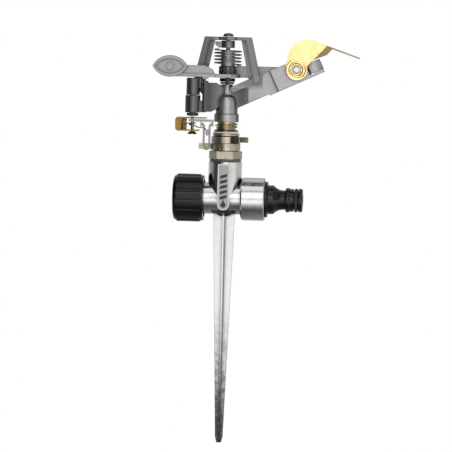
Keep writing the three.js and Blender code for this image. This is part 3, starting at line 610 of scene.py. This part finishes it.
# ------------------------------------------------------------------ bearing nipple and seals
# Turned hexagon nipple, zinc plated and stained a little brassy. It clamps a fibre washer on the
# riser, and its sleeve carries the head's weight.
plated_metal, plated_skin = worn_shaded_material(
    "plated_metal", (0.33, 0.31, 0.26), (0.10, 0.07, 0.03), 0.8, patch=2.4, grain=0.6,
    contrast=0.38, smooth=0.22, rough=0.46, bump=0.05, Metallic=1.0)
worn_through = ramp(plated_metal.node_tree, plated_skin.outputs["Patches"], 0.52, 0.62)
stain(plated_metal, worn_through, (0.30, 0.21, 0.07), 0.6)
nipple = refined("bearing_hexagon", "bearing_nipple", 0.3)
hand_over(nipple, plated_metal, "plated_steel", "base", "bearing_nipple")
pressed_fibre, _ = worn_shaded_material(
    "pressed_fibre", (0.09, 0.085, 0.06), (0.02, 0.02, 0.02), 0.4, patch=1.5, grain=0.25,
    contrast=0.3, smooth=0.6, rough=0.85, bump=0.05)
new_skin("nipple_gasket", pressed_fibre)

# ------------------------------------------------------------------ trip collars
# Two spring clips of plated strip, bent round the sleeve, with ears that the trip wire strikes.
upper_collar = refined("upper_stop_collar", "upper_trip_collar", 0.15)
hand_over(upper_collar, plated_metal, "plated_steel", "upper_collar", "upper_trip_collar")
lower_collar = refined("lower_stop_collar", "lower_trip_collar", 0.15)
hand_over(lower_collar, plated_metal, "plated_steel", "lower_collar", "lower_trip_collar")

# ------------------------------------------------------------------ swivel tube, washers and spring
# A brass tube runs down through the nipple and carries the head. A spring over it presses the
# white slip washer on the sleeve.
turned_brass, _ = worn_shaded_material(
    "turned_brass", (0.50, 0.36, 0.15), (0.08, 0.05, 0.02), 0.6, patch=3, grain=0.5,
    contrast=0.15, smooth=0.18, rough=0.36, bump=0.03, Metallic=1.0)
new_skin("nozzle", turned_brass)
tube = refined("swivel_tube", "bearing_tube", 0.15)
hand_over(tube, turned_brass, "brass", "head", "bearing_tube")
slip_plastic, _ = worn_shaded_material(
    "slip_plastic", (0.62, 0.57, 0.46), (0.22, 0.18, 0.12), 0.5, patch=3, grain=0.4,
    contrast=0.1, smooth=0.4, rough=0.6, bump=0.01)
for washer in ("lower_slip_washer", "upper_slip_washer"):
    new_skin(washer, slip_plastic)
spring_steel, _ = worn_shaded_material(
    "spring_steel", (0.24, 0.235, 0.225), (0.03, 0.028, 0.025), 0.7, patch=2, grain=0.3,
    contrast=0.2, smooth=0.2, rough=0.42, bump=0.02, Metallic=1.0)
cup = refined("bearing_spring_cup", "spring_cup", 0.1)
hand_over(cup, spring_steel, "steel_wire", "head", "spring_cup")


def coil(name, radius, wire, bottom, top, turns, start=0.0):
    """A helical spring of round wire about Z, all in mm: its wire's section is screwed upwards."""
    bpy.ops.object.select_all(action="DESELECT")
    bpy.ops.mesh.primitive_circle_add(
        vertices=14, radius=wire / 2 * MM, location=(radius * MM, 0, bottom * MM),
        rotation=(math.pi / 2, 0, 0))
    piece = bpy.context.object
    piece.name = name
    bpy.ops.object.transform_apply(location=True, rotation=True, scale=True)
    bpy.ops.object.modifier_add(type="SCREW")
    sweep = piece.modifiers[-1]
    sweep.angle = 2 * math.pi * turns
    sweep.screw_offset = (top - bottom) * MM
    sweep.steps = int(48 * turns)
    sweep.render_steps = sweep.steps
    bpy.ops.object.modifier_apply(modifier=sweep.name)
    bpy.ops.object.mode_set(mode="EDIT")
    bpy.ops.mesh.select_all(action="SELECT")
    bpy.ops.mesh.fill_holes(sides=0)
    bpy.ops.mesh.select_all(action="SELECT")
    bpy.ops.mesh.normals_make_consistent(inside=False)
    bpy.ops.object.mode_set(mode="OBJECT")
    settle(piece, (0, 0, start), (0, 0, 0))
    bpy.ops.object.shade_smooth_by_angle(angle=math.radians(40))
    return piece


coil_low, coil_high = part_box("bearing_spring")
COIL_RADIUS = 8.0
COIL_WIRE = 1.2
bearing_coil = coil("bearing_coil", COIL_RADIUS, COIL_WIRE, coil_low.z / MM + COIL_WIRE / 2,
                    coil_high.z / MM - COIL_WIRE / 2, 1.75, -2.6)
hand_over(bearing_coil, spring_steel, "steel_wire", "head", "bearing_spring")

# ------------------------------------------------------------------ head body
# Grey moulding with a metallic cast: riser, nozzle boom, trip housing and the bridge over the
# hammer's spring. Its faces are satin from the mould.
# Its corners and outer edges are darkened almost to black as painted shade.
grey_moulding, _ = worn_shaded_material(
    "grey_moulding", (0.27, 0.27, 0.274), (0.015, 0.015, 0.015), 0.95, patch=6, grain=0.35,
    contrast=0.12, smooth=0.30, rough=0.42, bump=0.03, edge_shade=0.9, Metallic=0.85)

# Painted shade: the moulding is darkened round the trip housing, on the bridge and where the boom
# leaves the neck.
PAINTED_SHADE_GREY = (0.03, 0.03, 0.031)
BRIDGE_FOOT = 95
BOOM_ROOT_END = 16.5
grey = grey_moulding.node_tree
x, y, z = place_in(grey_moulding)
stain(grey_moulding, ramp(grey, x, -12 * MM, -3 * MM, 1.0, 0.0), PAINTED_SHADE_GREY, 0.75)
stain(grey_moulding, product(
    grey, between(grey, x, -4, 27), between(grey, z, BRIDGE_FOOT, 200, 4)), PAINTED_SHADE_GREY, 0.55)
stain(grey_moulding, product(
    grey, between(grey, x, 3, BOOM_ROOT_END), between(grey, y, -5.6, 9),
    between(grey, z, 60, 97, 1)), PAINTED_SHADE_GREY, 0.7)
head = refined("head_moulding", "head_body", 0.35, crease=19)
hand_over(head, grey_moulding, "head_grey", "head", "head_body")
for node, name in (("pin_cap", "pin_dome"), ("spring_adjuster", "tension_lever")):
    part = refined(name, node, 0.25)
    hand_over(part, grey_moulding, "head_grey", "head", node)
new_skin("pivot_pin", spring_steel)

# ------------------------------------------------------------------ hammer arm
# Grey moulding: hub, two limbs, an oval counterweight with a sunk panel and the spoon that the jet
# strikes. A fluted collar and a thin band stand round its hub.
# Its corners and outer edges are darkened almost to black as painted shade.
light_moulding, _ = worn_shaded_material(
    "light_moulding", (0.27, 0.27, 0.274), (0.015, 0.015, 0.015), 0.95, patch=6, grain=0.35,
    contrast=0.12, smooth=0.36, rough=0.50, bump=0.03, edge_shade=0.9, Metallic=0.8)
arm = refined("hammer", "hammer_arm", 0.35)
hand_over(arm, light_moulding, "arm_grey", "hammer", "hammer_arm")
new_skin("arm_bush", black_moulding)
COLLAR_BORE = 5.2
COLLAR_RADIUS = 6.06
COLLAR_HEIGHT = 5.9
HUB_FOOT = 106.6
hub_top = HUB_FOOT + COLLAR_HEIGHT
flutes = turned("hub_flutes", [
    (COLLAR_BORE, HUB_FOOT), (COLLAR_RADIUS, HUB_FOOT), (COLLAR_RADIUS, hub_top - 0.3),
    (COLLAR_RADIUS - 0.46, hub_top), (COLLAR_BORE, hub_top), (COLLAR_BORE, HUB_FOOT),
], facets=96)
raise_bands(flutes, COLLAR_RADIUS, HUB_FOOT, hub_top - 0.2, 12, 1 / 2, 1.08)
soften(flutes, 0.12)
hand_over(flutes, light_moulding, "arm_grey", "hammer")
band = turned("hub_band", [
    (6.0, HUB_FOOT + 1.6), (6.75, HUB_FOOT + 1.6), (6.85, HUB_FOOT + 2), (6.75, HUB_FOOT + 2.4),
    (6.0, HUB_FOOT + 2.4), (6.0, HUB_FOOT + 1.6),
])
soften(band, 0.08)
hand_over(band, light_moulding, "arm_grey", "hammer")

# ------------------------------------------------------------------ torsion spring
# Round spring wire wound about the hammer's hub. Its lower end turns with the hammer and its upper
# end is held by the tension lever, so it winds up as the hammer swings.
TORSION_RADIUS = 9.9
TORSION_WIRE = 1.05
TORSION_FOOT = 113.4
TORSION_TURNS = 4.75
_, spring_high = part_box("arm_spring")
torsion = coil("torsion_coil", TORSION_RADIUS, TORSION_WIRE, TORSION_FOOT,
               spring_high.z / MM - 0.6, TORSION_TURNS, -0.7)
torsion.data.materials.clear()
torsion.data.materials.append(spring_steel)
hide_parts("arm_spring")
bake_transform(torsion)

# ------------------------------------------------------------------ deflector flap
# Bright brass sheet, pressed and folded: two ears on rivets, and a lip that dips into the jet. The
# near ear's outer corner is folded inwards along a straight line.
rolled_brass, _ = worn_shaded_material(
    "rolled_brass", (0.78, 0.57, 0.26), (0.20, 0.11, 0.03), 0.3, patch=14, grain=40,
    contrast=0.12, smooth=0.15, rough=0.24, bump=0.9, edge_shade=0.12, Metallic=1.0)
flap = refined("jet_deflector", "deflector_flap", 0)
FOLD_DEPTH = 4.5
LIP_ROOT = (9.6, 19.4)
LIP_FALL = 0.3415
pivot = Vector((51.9, 0, 111.2)) * MM
fold_foot = pivot + Vector((12, 0, 7.4)) * MM
fold_side = Vector((0.729, 0, -0.684))
in_edit_mode(flap)
bpy.ops.mesh.select_all(action="SELECT")
bpy.ops.mesh.bisect(plane_co=fold_foot, plane_no=fold_side)
bpy.ops.mesh.select_all(action="DESELECT")
bpy.ops.object.mode_set(mode="OBJECT")
for corner in flap.data.vertices:
    away = (corner.co - pivot) / MM
    under_lip = away.z < LIP_ROOT[1] - LIP_FALL * (away.x - LIP_ROOT[0])
    past_fold = (corner.co - fold_foot).dot(fold_side) > 0.3 * MM
    corner.select = past_fold and away.y < -6 and under_lip
bpy.ops.object.mode_set(mode="EDIT")
bpy.ops.transform.translate(value=(0, FOLD_DEPTH * MM, 0))
bpy.ops.object.mode_set(mode="OBJECT")
soften(flap, 0.12)
EAR_FACE = 7.9
RING_RADIUS = 8.1
HOLE_RADIUS = 3.9
for side, name in ((1, "near_eye_ring"), (-1, "far_eye_ring")):
    eye = turned(name, [
        (HOLE_RADIUS, EAR_FACE - 0.3), (RING_RADIUS, EAR_FACE - 0.3),
        (RING_RADIUS - 0.1, EAR_FACE + 0.1), (RING_RADIUS - 0.5, EAR_FACE + 0.3),
        (7.1, EAR_FACE + 0.3), (6.6, EAR_FACE + 0.05), (6.2, EAR_FACE + 0.05), (5.7, EAR_FACE + 0.5),
        (5.1, EAR_FACE + 0.6), (4.5, EAR_FACE + 0.3), (HOLE_RADIUS, EAR_FACE - 0.3),
    ])
    soften(eye, 0, angle=50)
    settle(eye, (side * math.pi / 2, 0, 0), pivot)
    hand_over(eye, rolled_brass, "brass", "flap")
hand_over(flap, rolled_brass, "brass", "flap", "deflector_flap")
for node, name in (("near_flap_rivet", "near_rivet"), ("far_flap_rivet", "far_rivet")):
    rivet = refined(name, node, 0.2)
    hand_over(rivet, bright_zinc, "steel_wire", "head", node)

# ------------------------------------------------------------------ trip
# The cam turns in the head's housing, with a folded brass lever, a pin and the wire's carrier
# under it. The wire strikes the collars' ears and throws the cam over.
aged_brass, _ = worn_shaded_material(
    "aged_brass", (0.20, 0.125, 0.045), (0.01, 0.008, 0.006), 0.95, patch=1.8, grain=0.5,
    contrast=0.5, smooth=0.22, rough=0.5, bump=0.04, Metallic=1.0)
cam = refined("reversing_cam", "trip_cam", 0.3)
hand_over(cam, grey_moulding, "head_grey", "trip", "trip_cam")
lever = refined("trip_strip", "trip_lever", 0.15)
hand_over(lever, aged_brass, "brass", "trip", "trip_lever")
eyelet = refined("flared_eyelet", "pin_eyelet", 0.1)
hand_over(eyelet, turned_brass, "brass", "trip", "pin_eyelet")
pin = refined("lever_pin", "trip_pin", 0.15)
hand_over(pin, spring_steel, "steel_wire", "trip", "trip_pin")
carrier = refined("wire_bracket", "wire_carrier", 0.15)
hand_over(carrier, spring_steel, "plated_steel", "trip", "wire_carrier")
toggle = refined("toggle_coil", "trip_spring", 0)
hand_over(toggle, spring_steel, "steel_wire", "trip", "trip_spring")
loop = refined("strike_wire", "trip_wire", 0)
hand_over(loop, spring_steel, "steel_wire", "wire", "trip_wire")
